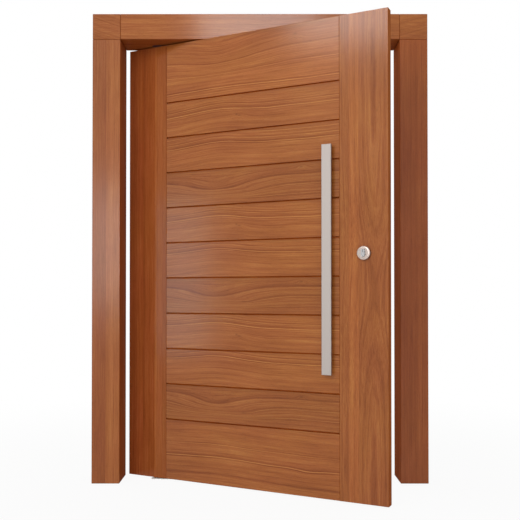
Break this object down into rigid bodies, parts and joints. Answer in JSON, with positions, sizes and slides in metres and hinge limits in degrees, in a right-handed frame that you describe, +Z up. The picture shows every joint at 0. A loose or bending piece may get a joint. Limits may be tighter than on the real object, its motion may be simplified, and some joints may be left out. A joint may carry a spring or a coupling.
{
  "type": "pivot entry door",
  "caption": "Wide timber entry door leaf of horizontal boards between stiles, turning on an inset floor and head pivot in a square frame, with long pull handles and a lock.",
  "frame": {"origin": "middle of the foot of the left jamb, at floor level", "axes": "+Z up; -Y towards the front of the door, from which the picture is taken; +X from the pivot side to the lock side"},
  "size_m": [1.5975, 0.6113, 2.235],
  "materials": {
    "left_jamb_wood": "satin clear varnish on reddish brown hardwood",
    "right_jamb_wood": "satin clear varnish on reddish brown hardwood",
    "head_wood": "satin clear varnish on reddish brown hardwood",
    "stile_wood": "satin clear varnish on reddish brown hardwood",
    "board_wood": "satin clear varnish on reddish brown hardwood",
    "handle_steel": "satin stainless steel",
    "lock_steel": "satin stainless steel",
    "pivot_steel": "satin stainless steel"
  },
  "bodies": {
    "frame": {"left_jamb": "left_jamb_wood", "right_jamb": "right_jamb_wood", "head": "head_wood", "left_corner_block": "head_wood", "right_corner_block": "head_wood", "floor_pivot_plate": "pivot_steel", "floor_pivot_pin": "pivot_steel", "head_pivot_plate": "pivot_steel", "head_pivot_pin": "pivot_steel"},
    "leaf": {"left_stile": "stile_wood", "right_stile": "stile_wood", "board_01": "board_wood", "board_02": "board_wood", "board_03": "board_wood", "board_04": "board_wood", "board_05": "board_wood", "board_06": "board_wood", "board_07": "board_wood", "board_08": "board_wood", "board_09": "board_wood", "board_10": "board_wood", "board_11": "board_wood", "bottom_pivot_cup": "pivot_steel", "top_pivot_cup": "pivot_steel", "front_handle_bar": "handle_steel", "front_handle_lower_post": "handle_steel", "front_handle_upper_post": "handle_steel", "back_handle_bar": "handle_steel", "back_handle_lower_post": "handle_steel", "back_handle_upper_post": "handle_steel", "front_lock_rosette": "lock_steel", "back_lock_rosette": "lock_steel", "lock_cylinder": "lock_steel"}
  },
  "joints": [
    {"name": "leaf_pivot", "type": "hinge", "parent": "frame", "child": "leaf", "pos_m": [0.259, 0.019, 0], "axis": [0, 0, -1], "range_deg": [-25.8, 64.2]}
  ]
}
